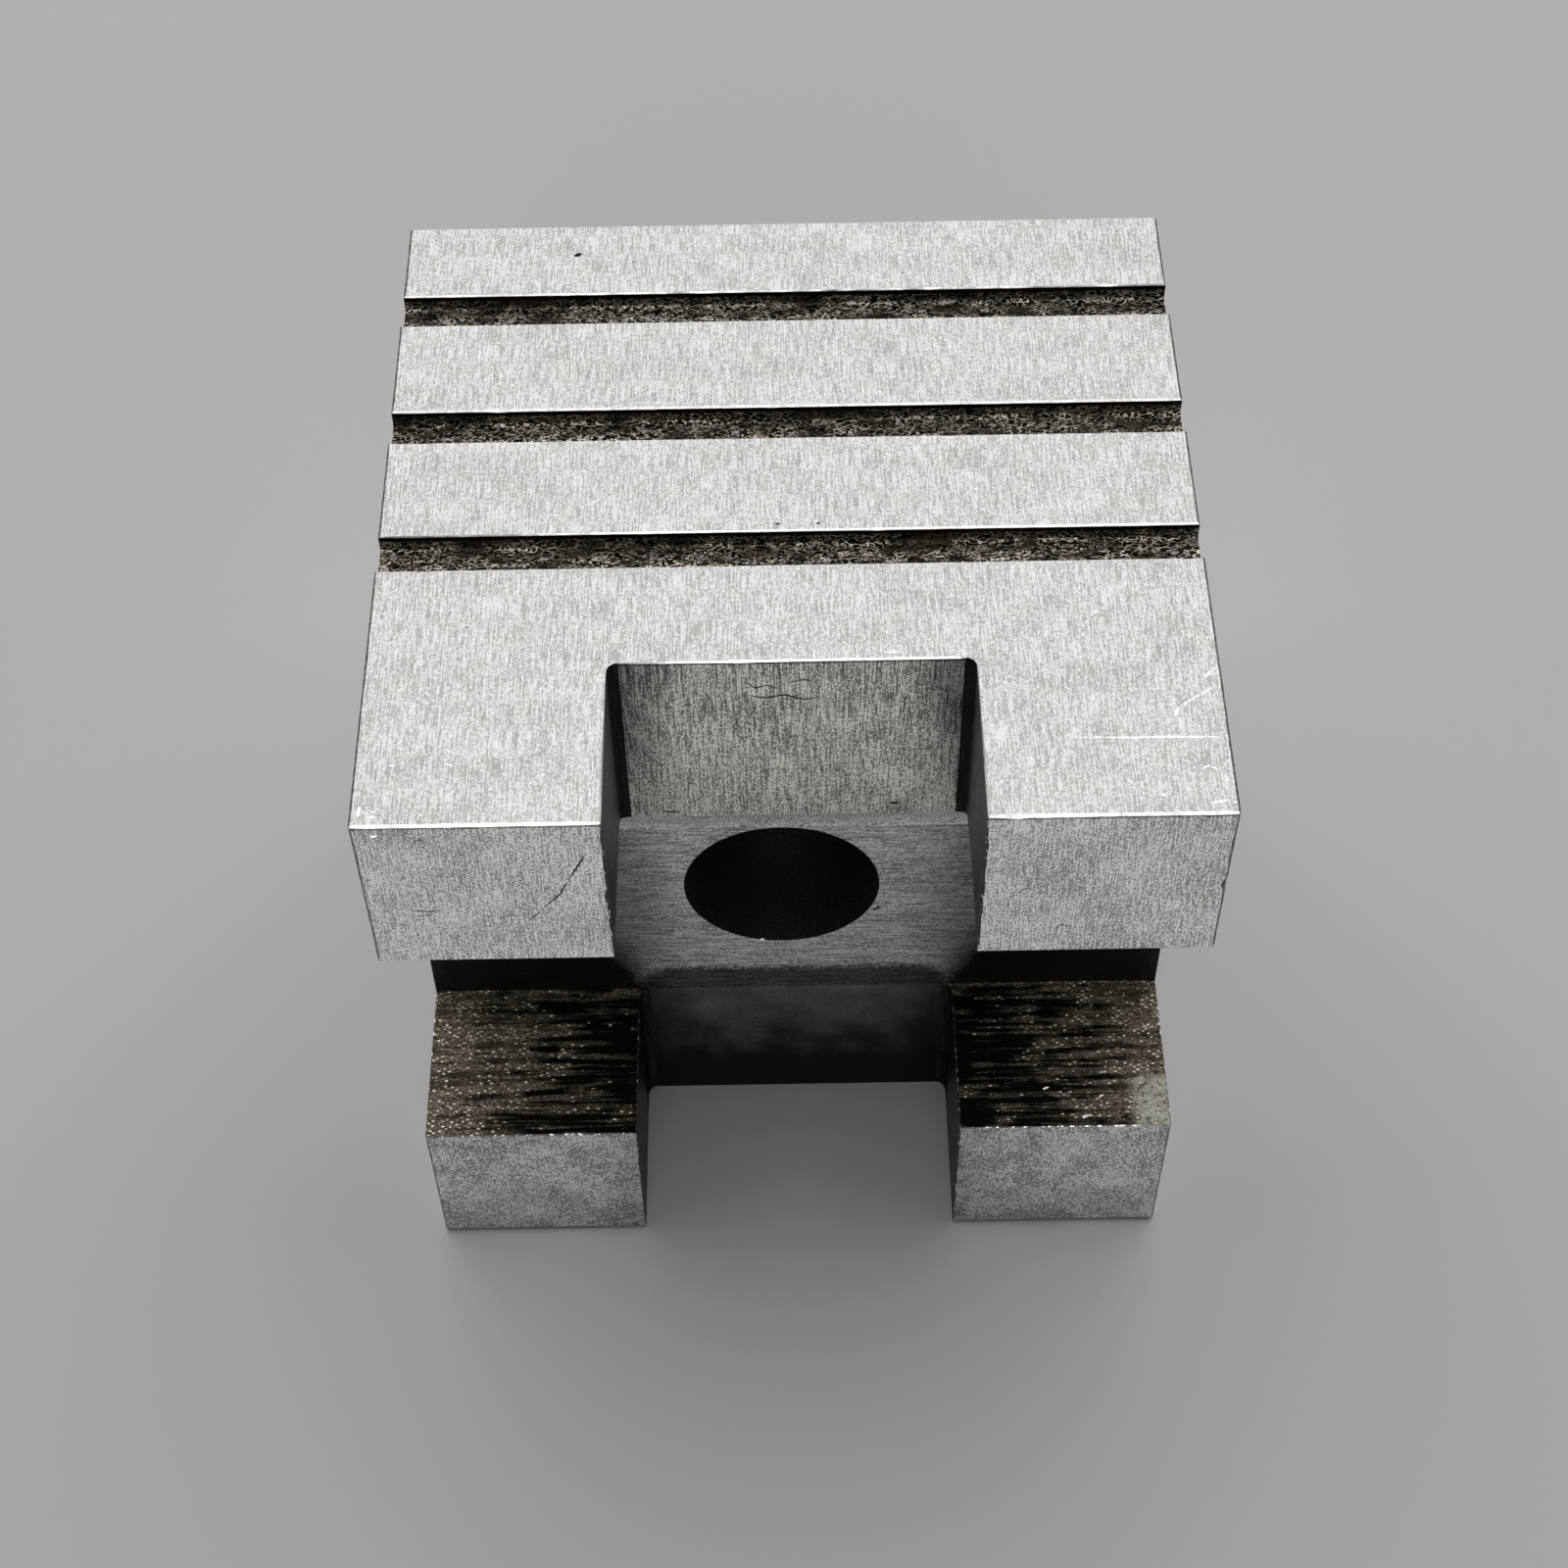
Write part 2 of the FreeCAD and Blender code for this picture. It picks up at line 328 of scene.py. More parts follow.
def edge_finish(edge):
    """Finish of a square edge, or nothing where it stays sharp."""
    if not is_outward(edge) or lies_at(edge, 1, CHANNEL_BACK) or edge.calc_length() < 2 * OUTER_EDGE:
        return None
    if is_foot_front(edge):
        return "foot_shadow_edge"
    if is_bore_rim(edge):
        return "bore_wall" if lies_at(edge, 1, HIGH.y) else None
    if lies_at(edge, 2, CHANNEL_LOW):
        return "specked_edge"
    if is_outside(edge):
        return None if is_groove_end(edge) else "outline_shade_edge"
    if lies_at(edge, 2, HIGH.z):
        return "bright_edge"
    return "specked_edge"


def break_all_edges(block):
    """Break the edges, the widest first, so that no chamfer runs past the end of another."""
    for name, width in (
            ("foot_shadow_edge", FOOT_EDGE), ("outline_shade_edge", OUTER_EDGE), ("bright_edge", LAND_EDGE),
            ("specked_edge", INNER_EDGE), ("bore_wall", INNER_EDGE)):
        break_edges(block, name, width, lambda edge: edge_finish(edge) == name)


block = shape_blank()
cut_channel(block)
cut_slot(block, HIGH.z + PAST, SLOT_BACK, "slot_back", "slot_side", "slot_corner")
cut_slot(block, CHANNEL_LOW + PAST / 2, CHANNEL_BACK, "scaled_wall", "leg_side", "leg_side")
cut_bore(block)
cut_grooves(block)


# Wear and relief of the surfaces

def uneven(place):
    """How far the rim of an edge wanders at a place, most along the front of the lands."""
    gentle = noise.noise(place / (1.1 * MM)) * 0.5 + 0.5
    sharp = noise.noise(place / (0.35 * MM) + Vector((5, 3, 1)))
    chip = max(0.0, noise.noise(place / (2.3 * MM) + Vector((9, 4, 7))) - 0.35)
    front = FRONT_WEAR if place.y < LOW.y + 0.2 * MM else 1
    return (0.04 * gentle + 0.02 * abs(sharp) + 0.22 * chip) * front * MM


def wear_edges(block):
    """Make the narrow edge faces uneven, each point within the broad face beside it.

    The wear fades towards the corners, where two rims would cross, and stays within the block's box.
    """
    names = ("bright_edge", "outline_shade_edge", "specked_edge", "foot_shadow_edge")
    for name in names:
        for axis in range(3):
            slice_faces(block, name, axis, WEAR_STEP)
    slots = [block.data.materials.find(name) for name in names]
    mesh = bmesh.new()
    mesh.from_mesh(block.data)
    rims, corners = [], []
    for vertex in mesh.verts:
        narrow = [face for face in vertex.link_faces if face.material_index in slots]
        broad = [face for face in vertex.link_faces if face.material_index not in slots]
        if narrow and len(broad) == 1 and all(face.normal.dot(narrow[0].normal) > 0.9 for face in narrow):
            outward = narrow[0].normal - narrow[0].normal.project(broad[0].normal)
            rims.append((vertex, outward.normalized()))
        elif narrow:
            corners.append(vertex.co.copy())
    nearest = kdtree.KDTree(len(corners))
    for index, corner in enumerate(corners):
        nearest.insert(corner, index)
    nearest.balance()
    for vertex, outward in rims:
        apart = nearest.find(vertex.co)[2]
        vertex.co -= outward * uneven(vertex.co) * min(1.0, apart / WEAR_FADE)
    for vertex in mesh.verts:
        for axis in range(3):
            vertex.co[axis] = min(max(vertex.co[axis], LOW[axis]), HIGH[axis])
    mesh.to_mesh(block.data)
    mesh.free()


def add_mark(points, axis, place, width, depth):
    """Cutter for a scratch, a dent or a chip: a thin spindle through points on a flat face.

    Sizes are in millimetres. The points leave out the face's own axis, and place is where the face lies
    on it.
    """
    deselect_objects()
    bpy.ops.mesh.primitive_uv_sphere_add(segments=4, ring_count=2 * len(points) + 2, radius=1)
    spindle = bpy.context.object
    path = [Vector(point[:axis] + (place,) + point[axis:]) for point in points]
    normal = Vector([float(axis == index) for index in range(3)])
    side = normal.cross(path[-1] - path[0]).normalized()
    for vertex in spindle.data.vertices:
        reach = (vertex.co.z + 1) / 2 * (len(path) - 1)
        step = min(int(reach), len(path) - 2)
        middle = path[step].lerp(path[step + 1], reach - step)
        vertex.co = (middle + side * vertex.co.x * width / 2 + normal * vertex.co.y * depth) * MM
    return spindle


def cut_marks(block, name, marks):
    """Cut a set of marks out of the block, with the finish of fresh or of dirty metal."""
    for points, face, width, depth in marks:
        cutter = add_mark(points, *face, width, depth)
        give_finish(cutter, name, lambda face: True)
        cut(block, cutter)


# Marked faces, each by its axis and its place in millimetres
TOP = (2, HIGH.z / MM)
FRONT = (1, LOW.y / MM)
LEDGE = (2, CHANNEL_LOW / MM)
SLOT_WALL = (1, SLOT_BACK / MM)
CHANNEL_WALL = (1, CHANNEL_BACK / MM)

# Fresh dents and chips: the points, the face, the width and the depth. Those on the lands are shallow,
# so that their sides still mirror the light above.
FRESH_MARKS = (
    (((19.6, -23.3), (23.1, -23.42), (26.4, -23.4), (29.4, -23.5)), TOP, 0.16, 0.03),
    (((26.2, -21.2), (27.1, -20.5), (28.6, -19.5), (29.4, -19.0)), TOP, 0.13, 0.03),
    (((26.3, -21.6), (26.7, -20.9)), TOP, 0.22, 0.033),
    (((28.7, -18.2), (29.3, -17.6)), TOP, 0.16, 0.03),
    (((-29.35, -29.1), (-29.3, -28.2)), TOP, 0.2, 0.03),
    (((-28.9, -29.2), (-27.8, -29.15)), TOP, 0.14, 0.03),
    (((-28.85, -28.5), (-28.25, -28.75)), TOP, 0.12, 0.03),
    (((-28.6, 58.9), (-28.0, 59.0)), FRONT, 0.2, 0.05),
    (((28.2, -29.1), (29.2, -28.9)), TOP, 0.18, 0.03),
    (((29.35, -27.3), (29.3, -26.7)), TOP, 0.16, 0.03),
    (((27.75, -26.2), (28.2, -25.95)), TOP, 0.14, 0.03),
    (((28.35, -26.0), (28.75, -26.25)), TOP, 0.12, 0.03),
    (((23.25, -28.65), (23.85, -28.55)), TOP, 0.14, 0.03),
    (((24.75, -28.35), (25.15, -28.42)), TOP, 0.14, 0.03),
    (((22.6, -26.9), (22.9, -27.4)), TOP, 0.12, 0.03),
    (((20.6, -13.4), (21.1, -12.7)), TOP, 0.12, 0.03),
    (((21.4, -12.2), (21.9, -11.7)), TOP, 0.12, 0.03),
    (((-23.8, -24.7), (-23.2, -24.9)), TOP, 0.14, 0.03),
    (((-27.6, -24.8), (-27.1, -24.8)), TOP, 0.12, 0.03),
    (((6.5, -15.4), (7.5, -15.4)), TOP, 0.24, 0.036),
    (((-13.9, 50.9), (-13.9, 51.9)), FRONT, 0.2, 0.1),
    (((13.9, 54.2), (13.9, 55.0)), FRONT, 0.2, 0.1),
    (((22.9, -27.3), (23.5, -27.1)), LEDGE, 0.3, 0.08),
    (((19.9, -24.6), (20.4, -24.4)), LEDGE, 0.2, 0.06),
    (((24.4, -25.4), (24.8, -25.2)), LEDGE, 0.2, 0.06),
    # Painted highlight: this bright chip at the bore's lower rim stands in for a glint.
    (((-2.95, 22.6), (-2.4, 22.55)), CHANNEL_WALL, 0.26, 0.25),
)

# Old scratches and pits, which hold dirt
DARK_MARKS = (
    (((-14.3, 56.4), (-14.8, 55.3), (-15.6, 53.6)), FRONT, 0.15, 0.06),
    (((-15.7, 53.4), (-16.3, 51.9), (-17.6, 50.2)), FRONT, 0.13, 0.05),
    (((-17.8, 49.9), (-18.9, 48.5)), FRONT, 0.11, 0.04),
    (((-26.8, 50.2), (-25.6, 50.0), (-25.0, 50.15)), FRONT, 0.13, 0.06),
    (((-26.6, 49.5), (-25.4, 49.6)), FRONT, 0.1, 0.05),
    (((-21.0, 49.0), (-20.0, 49.4), (-19.4, 49.2)), FRONT, 0.1, 0.05),
    (((-25.9, 58.1), (-25.4, 58.5), (-24.9, 58.1)), FRONT, 0.1, 0.05),
    (((15.5, 51.0), (15.9, 51.6), (16.5, 51.5)), FRONT, 0.12, 0.06),
    (((18.3, 46.6), (18.8, 47.1), (19.4, 46.9)), FRONT, 0.12, 0.06),
    (((-3.4, 57.8), (-2.6, 57.0), (-1.7, 57.3), (-0.9, 56.8)), SLOT_WALL, 0.16, 0.08),
    (((-3.2, 56.2), (-1.9, 55.9), (-0.5, 56.2), (0.9, 55.6), (2.0, 55.9)), SLOT_WALL, 0.18, 0.09),
    (((-0.4, 57.5), (0.9, 57.9), (1.9, 57.4)), SLOT_WALL, 0.12, 0.06),
    (((-9.9, 42.6), (-8.5, 42.5)), SLOT_WALL, 0.2, 0.1),
    (((7.2, 43.2), (8.0, 43.2)), SLOT_WALL, 0.3, 0.1),
    (((-12.9, 33.0), (-11.8, 33.15), (-10.5, 33.0)), CHANNEL_WALL, 0.12, 0.05),
    (((6.3, 26.5), (6.6, 26.9), (6.9, 27.2)), CHANNEL_WALL, 0.25, 0.1),
    (((-16.7, 26.4), (-16.1, 26.7)), TOP, 0.4, 0.15),
    (((-12.1, 25.6), (-11.9, 25.65)), TOP, 0.1, 0.05),
    (((-1.0, -3.0), (-0.6, -2.9)), TOP, 0.16, 0.08),
    (((2.0, -3.0), (2.3, -2.9)), TOP, 0.16, 0.08),
    (((-23.1, -12.5), (-22.9, -12.4)), TOP, 0.12, 0.05),
    (((26.1, 6.5), (26.3, 6.6)), TOP, 0.12, 0.05),
    (((9.2, 23.8), (9.4, 23.9)), TOP, 0.14, 0.05),
)


def relief(place, grain):
    """Height of a rough floor at a place, from about -1 to 1, for lumps of a size."""
    lumps = noise.noise(place / grain)
    fine = noise.noise(place / (grain * 0.45) + Vector((3, 8, 2)))
    return lumps * 0.65 + fine * 0.5


def roughen(block, name, axes, step, grain, depth):
    """Give the faces of a finish a relief, into the steel, that ends at their borders."""
    for axis in axes:
        slice_faces(block, name, axis, step)
    slot = block.data.materials.find(name)
    mesh = bmesh.new()
    mesh.from_mesh(block.data)
    mesh.normal_update()
    inner = [vertex for vertex in mesh.verts
             if all(face.material_index == slot for face in vertex.link_faces)]
    moves = [(vertex, vertex.normal * depth * (relief(vertex.co, grain) - 0.3)) for vertex in inner]
    for vertex, move in moves:
        vertex.co += move
    mesh.to_mesh(block.data)
    mesh.free()


def smooth_curved_faces(block):
    """Shade the curved and the rough faces smooth, and keep the ground faces and their edges flat."""
    activate(block)
    bpy.ops.object.shade_smooth_by_angle(angle=math.radians(25))
    curved = [block.data.materials.find(name) for name in (
        "slot_corner", "leg_side", "channel_curve", "scaled_wall", "ledge_rough", "groove_rough",
        "bore_wall")]
    for face in block.data.polygons:
        face.use_smooth = face.material_index in curved


cut_marks(block, "fresh_mark", FRESH_MARKS)
cut_marks(block, "dark_mark", DARK_MARKS)
break_all_edges(block)
wear_edges(block)
roughen(block, "ledge_rough", (0, 1), step=0.24 * MM, grain=0.5 * MM, depth=0.09 * MM)
roughen(block, "groove_rough", (0, 1, 2), step=0.26 * MM, grain=0.6 * MM, depth=0.08 * MM)
roughen(block, "scaled_wall", (0, 2), step=0.3 * MM, grain=0.7 * MM, depth=0.04 * MM)
smooth_curved_faces(block)

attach(block, "root")
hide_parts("block")


# Finishes

class Nodes:
    """The nodes of one finish, added and joined by their sockets."""

    def __init__(self, name):
        self.tree = FINISHES[name].node_tree
        self.surface = self.tree.nodes["Principled BSDF"]
        self.place = self.tree.nodes.new("ShaderNodeTexCoord").outputs["Object"]
        split = self.add("ShaderNodeSeparateXYZ", {"Vector": self.place})
        self.x, self.y, self.z = split.outputs

    def add(self, kind, inputs, **settings):
        """Add a node, with its settings and what its inputs take."""
        made = self.tree.nodes.new(kind)
        for name, value in settings.items():
            setattr(made, name, value)
        for socket, value in inputs.items():
            self.feed(made.inputs[socket], value)
        return made

    def feed(self, socket, value):
        """Lead another socket, or a constant, into a socket."""
        if isinstance(value, bpy.types.NodeSocket):
            self.tree.links.new(value, socket)
        else:
            socket.default_value = value

    def stretched(self, size, turn=0.0):
        """Place in units of a size in millimetres, one for each axis."""
        scale = [1 / (length * MM) for length in size]
        return self.add("ShaderNodeMapping", {
            "Vector": self.place, "Rotation": (0, 0, turn), "Scale": scale}).outputs[0]

    def cloud(self, size, detail=2.0, roughness=0.5):
        """Noise with lumps of a size in millimetres."""
        return self.add("ShaderNodeTexNoise", {
            "Vector": self.stretched(size), "Scale": 1.0, "Detail": detail,
            "Roughness": roughness}).outputs[0]

    def cells(self, size, turn=0.0, randomness=1.0):
        """Distance to the nearest of scattered points, and a random number for each point."""
        made = self.add("ShaderNodeTexVoronoi", {
            "Vector": self.stretched(size, turn), "Scale": 1.0, "Randomness": randomness})
        split = self.add("ShaderNodeSeparateColor", {"Color": made.outputs["Color"]})
        return made.outputs["Distance"], split.outputs[0]

    def span(self, value, low, high, start=0.0, end=1.0):
        """Value carried from one range to another, and held at its ends."""
        return self.add("ShaderNodeMapRange", {
            "Value": value, "From Min": low, "From Max": high, "To Min": start, "To Max": end}).outputs[0]

    def sum(self, first, second):
        return self.add("ShaderNodeMath", {0: first, 1: second}, operation="ADD").outputs[0]

    def product(self, first, second):
        return self.add("ShaderNodeMath", {0: first, 1: second}, operation="MULTIPLY").outputs[0]

    def larger(self, first, second):
        return self.add("ShaderNodeMath", {0: first, 1: second}, operation="MAXIMUM").outputs[0]

    def size_of(self, value):
        return self.add("ShaderNodeMath", {0: value}, operation="ABSOLUTE").outputs[0]

    def mix(self, share, first, second):
        """Colour between two colours."""
        return self.add("ShaderNodeMix", {0: share, 6: first, 7: second}, data_type="RGBA").outputs[2]

    def threads(self, size, width, detail=2.0):
        """Thin winding lines."""
        offset = self.size_of(self.sum(self.cloud(size, detail), -0.5))
        return self.span(offset, width, 0.0)

    def specks(self, size, radius, share, turn=0.0, randomness=1.0):
        """Scattered specks on a share of the points. The share is a number or a socket."""
        distance, number = self.cells(size, turn, randomness)
        return self.product(self.span(distance, radius, radius * 0.6),
                            self.span(self.sum(number, share), 1.0, 1.03))

    def finish(self, colour, roughness, height, depth, metal=1.0):
        """Lead the colour, roughness and relief into the surface. The depth is in millimetres."""
        bump = self.add("ShaderNodeBump", {"Height": height, "Distance": depth * MM, "Strength": 1.0})
        self.feed(self.surface.inputs["Base Color"], colour)
        self.feed(self.surface.inputs["Roughness"], roughness)
        self.feed(self.surface.inputs["Normal"], bump.outputs[0])
        self.surface.inputs["Metallic"].default_value = metal


def grey(level, warmth=0.01):
    """Grey of a linear level, a little warm."""
    return (level * (1 + warmth), level, level * (1 - warmth * 1.6), 1)


def along(axis, across, length):
    """Grain size: long on one axis and fine on the other two."""
    return [length if index == axis else across for index in range(3)]


def ground(name, axis, level, contrast, lines=0.35, patches=0.15, size=0.13, pits=0.05, roughness=0.45,
           warmth=0.01, shading=None):
    """Ground steel: a fine mottle and straight lines along one axis, faint patches, small pits and painted
    glints.

    lines and patches are shares of the grain, and size is the width of the mottle in millimetres.
    shading, made from the nodes, is a share of the level that the surface keeps at a place: mostly painted
    shade and shadow, in places also dark lines, scale or spots.
    """
    nodes = Nodes(name)
    mottle = nodes.cloud(along(axis, size, size * 1.5), 1, 0.6)
    hairs = nodes.cloud(along(axis, 0.12, 2.4), 2, 0.6)
    clouds = nodes.cloud((4, 4, 4), 5, 0.65)
    grain = nodes.sum(nodes.sum(nodes.product(mottle, 1 - lines - patches), nodes.product(hairs, lines)),
                      nodes.product(clouds, patches))
    shade = nodes.span(grain, 0.43, 0.57)
    dark = level * (1 - contrast)
    light = min(1.0, level * (1 + contrast))
    tint = nodes.span(nodes.cloud((2.6, 2.6, 2.6), 3), 0.42, 0.62)
    tinted = nodes.mix(tint, nodes.mix(shade, grey(dark, warmth), grey(light, warmth)),
                       nodes.mix(shade, grey(dark, warmth + 0.03), grey(light, warmth)))
    holes = nodes.specks((0.8, 0.8, 0.8), 0.11, pits)
    # Painted glints: scattered bright specks in the colour.
    glints = nodes.specks((1.3, 1.3, 1.3), 0.07, 0.5)
    spotted = nodes.mix(nodes.product(holes, 0.75), tinted, grey(level * 0.2))
    colour = nodes.mix(nodes.product(glints, 0.8), spotted, grey(min(1.0, level * 1.9)))
    # Painted shade and shadow, and in places dark lines, scale or spots, darken the colour towards black.
    if shading:
        colour = nodes.mix(shading(nodes), (0.004, 0.004, 0.004, 1), colour)
    steel = nodes.sum(nodes.product(mottle, 0.6), nodes.product(hairs, 0.6))
    height = nodes.sum(steel, nodes.product(holes, -1.5))
    nodes.finish(colour, nodes.span(grain, 0.4, 0.6, roughness + 0.08, roughness - 0.08), height, 0.01)


def dark_lines(nodes, axis, share):
    """Thin dark lines along one axis, on a share of the surface."""
    lines = nodes.cloud(along(axis, 0.075, 3.0), 2, 0.5)
    return nodes.span(nodes.sum(lines, nodes.product(share, -0.12)), 0.36, 0.30)


def lip_shadow(nodes):
    """Painted shadow: a darker line under the top edge of an upright face."""
    ragged = nodes.sum(nodes.z, nodes.product(nodes.sum(nodes.cloud((1.2, 1.2, 1.2)), -0.5), 0.3 * MM))
    return nodes.span(ragged, HIGH.z - 0.28 * MM, HIGH.z - 0.45 * MM, 0.3, 1)


def back_shading(nodes):
    """Painted shade, darker at both sides and along the foot, and a painted shadow under the top edge, with
    dark upright lines in the upper half.
    """
    upper = nodes.span(nodes.z, 47 * MM, 54 * MM, 0.1, 1)
    wavy = nodes.sum(nodes.size_of(nodes.x), nodes.product(nodes.sum(nodes.cloud((2, 2, 4)), -0.5), 5 * MM))
    sides = nodes.span(wavy, 8 * MM, 12.5 * MM)
    lines = nodes.product(dark_lines(nodes, 2, nodes.sum(upper, -0.4)), nodes.larger(upper, sides))
    # Painted shade at both sides, deepest towards the top.
    side_shade = nodes.product(sides, nodes.span(nodes.z, 42 * MM, 55 * MM, 0.3, 0.65))
    # Painted shade along the foot, and the painted shadow under the top edge.
    painted_shade = nodes.product(nodes.span(nodes.z, 42 * MM, 50 * MM, 0.8, 1), lip_shadow(nodes))
    lit = nodes.product(nodes.span(lines, 0, 1, 1, 0.3), nodes.span(side_shade, 0, 1, 1, 0))
    return nodes.product(lit, painted_shade)


def slot_shading(nodes):
    """Painted shade: the sides of the slot darken downwards, and are black between the lower pads."""
    return nodes.span(nodes.z, 16 * MM, 56 * MM, 0.03, 0.75)


def leg_shading(nodes):
    """Painted shade: darker towards the foot and the inner side of each lower pad."""
    foot = nodes.span(nodes.sum(nodes.z, nodes.product(nodes.sum(nodes.cloud((3, 3, 3), 3), -0.5), 8 * MM)),
                      0, 9 * MM, 0.7, 1)
    return nodes.product(foot, nodes.span(nodes.size_of(nodes.x), 13.5 * MM, 17 * MM, 0.75, 1))


def arch_distance(nodes):
    """How far a place on the wall lies outside the arch of scale."""
    aside = nodes.larger(nodes.sum(nodes.size_of(nodes.x), SCALE_CORNER - SCALE_HALF), 0.0)
    above = nodes.larger(nodes.sum(nodes.z, SCALE_CORNER - SCALE_TOP), 0.0)
    squares = nodes.sum(nodes.product(aside, aside), nodes.product(above, above))
    return nodes.sum(nodes.add("ShaderNodeMath", {0: squares}, operation="SQRT").outputs[0], -SCALE_CORNER)


def channel_shading(nodes):
    """Painted shade at both sides, dark with scale in the arch below, and a near-black painted shadow
    behind and beside the lower pads.
    """
    uneven_edge = nodes.sum(nodes.cloud((0.8, 0.8, 0.8), 4), -0.5)
    aside = nodes.sum(nodes.size_of(nodes.x), nodes.product(uneven_edge, 1.6 * MM))
    # Painted shadow of the lower pads: near black low down and outside a slanted middle, with a ragged
    # border.
    high = nodes.span(nodes.sum(nodes.z, nodes.product(uneven_edge, 8 * MM)), 23.5 * MM, 30 * MM, 0.03, 1)
    middle = nodes.span(nodes.sum(aside, nodes.product(nodes.z, -0.45)), 6.0 * MM, 3.2 * MM, 0.03, 1)
    # Painted shade towards both sides.
    side_shade = nodes.span(aside, 13.5 * MM, 8.5 * MM, 0.55, 1)
    lines = nodes.span(dark_lines(nodes, 0, 0.3), 0, 1, 1, 0.45)
    speckle = nodes.product(nodes.sum(nodes.cloud((0.3, 0.3, 0.3), 3, 0.7), -0.5), 3 * MM)
    scale = nodes.span(nodes.sum(arch_distance(nodes), speckle), -0.5 * MM, 0.4 * MM, 0.15, 1)
    return nodes.product(nodes.product(nodes.larger(middle, high), side_shade), nodes.product(lines, scale))


def curve_shading(nodes):
    """Dark spots along the foot of the slot's wall."""
    foot = nodes.span(nodes.z, CHANNEL_HIGH - 2.9 * MM, CHANNEL_HIGH - 1.9 * MM, 0, -0.07)
    return nodes.span(nodes.sum(nodes.cloud((0.5, 0.5, 0.4), 3, 0.6), foot), 0.33, 0.40, 0.35, 1)


def finish_ledges():
    """Dark, dimpled tops of the lower pads, with light specks in bands that thin out inwards: painted
    glints on the dimples, fading inwards into painted shade, and a painted highlight along the back.
    """
    nodes = Nodes("ledge_rough")
    # Painted light: the tops are lighter and glint more towards the open ends, and darken inwards.
    outer = nodes.span(nodes.size_of(nodes.sum(nodes.x, -0.7 * MM)), 13.5 * MM, 28.5 * MM)
    bands = nodes.span(nodes.cloud((9, 0.55, 4), 3, 0.6), 0.44, 0.58)
    patches = nodes.span(nodes.cloud((2.6, 1.6, 3), 3), 0.42, 0.6)
    reach = nodes.sum(nodes.product(outer, 1.1), nodes.product(nodes.sum(bands, -0.75), 0.75))
    cover = nodes.span(nodes.sum(reach, nodes.product(nodes.sum(patches, -0.5), 0.5)), 0.0, 0.95)
    clusters = nodes.span(nodes.cloud((1.8, 1.0, 1), 3), 0.42, 0.6, 0.3, 0.95)
    # Painted glints on the dimples and grains.
    dots = nodes.specks((0.54, 0.33, 0.5), 0.34, nodes.product(cover, clusters), turn=0.9, randomness=0.45)
    grains = nodes.specks((0.27, 0.27, 0.27), 0.34, nodes.product(cover, 0.35))
    # Painted highlight along the back of each top.
    back_highlight = nodes.product(nodes.span(nodes.y, CHANNEL_BACK - 1.3 * MM, CHANNEL_BACK - 0.9 * MM),
                               nodes.span(nodes.cloud((2.4, 0.5, 1), 3), 0.42, 0.6))
    # Painted glints in winding dashes.
    dashes = nodes.product(nodes.threads((0.5, 0.22, 0.4), 0.07), nodes.larger(cover, back_highlight))
    chips = nodes.specks((1.9, 1.9, 1.9), 0.09, 0.3)
    light = nodes.larger(nodes.larger(dots, nodes.product(grains, 0.5)),
                         nodes.larger(nodes.product(dashes, 0.35), chips))
    corner = nodes.product(nodes.span(nodes.x, 26.6 * MM, 27.8 * MM),
                           nodes.span(nodes.y, -22.8 * MM, -24.0 * MM))
    polish = nodes.product(corner, nodes.span(nodes.cloud((0.5, 0.5, 0.5), 4), 0.3, 0.5))
    base = nodes.mix(nodes.larger(cover, nodes.product(back_highlight, 0.8)), (0.006, 0.005, 0.004, 1),
                     (0.085, 0.067, 0.046, 1))
    speckled = nodes.mix(light, base, (0.68, 0.63, 0.52, 1))
    colour = nodes.mix(nodes.product(polish, 0.9), speckled, (0.46, 0.45, 0.385, 1))
    lumps = nodes.cloud((0.2, 0.2, 0.2), 3, 0.6)
    height = nodes.sum(lumps, nodes.product(dots, 0.6))
    nodes.finish(colour, nodes.span(light, 0, 1, 0.7, 0.42), height, 0.05)


def finish_grooves():
    """Dark groove walls and floors, with painted glints in light winding dashes along them, and a painted
    shadow along the top of the walls.
    """
    nodes = Nodes("groove_rough")
    patches = nodes.span(nodes.cloud((2.6, 1.0, 3), 3), 0.38, 0.56, 0.15, 1)
    # Painted shadow: black along the top of the walls, under the top edge.
    below_lip_shadow = nodes.span(nodes.z, HIGH.z - 0.5 * MM, HIGH.z - 0.7 * MM)
    # Painted glints in winding dashes and dots.
    dashes = nodes.threads((0.55, 0.27, 0.27), 0.05, 1.5)
    dots = nodes.specks((0.4, 0.34, 0.34), 0.30, 0.5)
    light = nodes.product(nodes.product(nodes.larger(dashes, dots), patches), below_lip_shadow)
    base = nodes.mix(nodes.product(nodes.span(nodes.cloud((1.5, 0.5, 0.5), 3), 0.4, 0.65), below_lip_shadow),
                     (0.004, 0.003, 0.002, 1), (0.055, 0.042, 0.028, 1))
    colour = nodes.mix(light, base, (0.75, 0.70, 0.61, 1))
    lumps = nodes.cloud((0.3, 0.22, 0.22), 3, 0.6)
    nodes.finish(colour, nodes.span(light, 0, 1, 0.7, 0.4), lumps, 0.05)


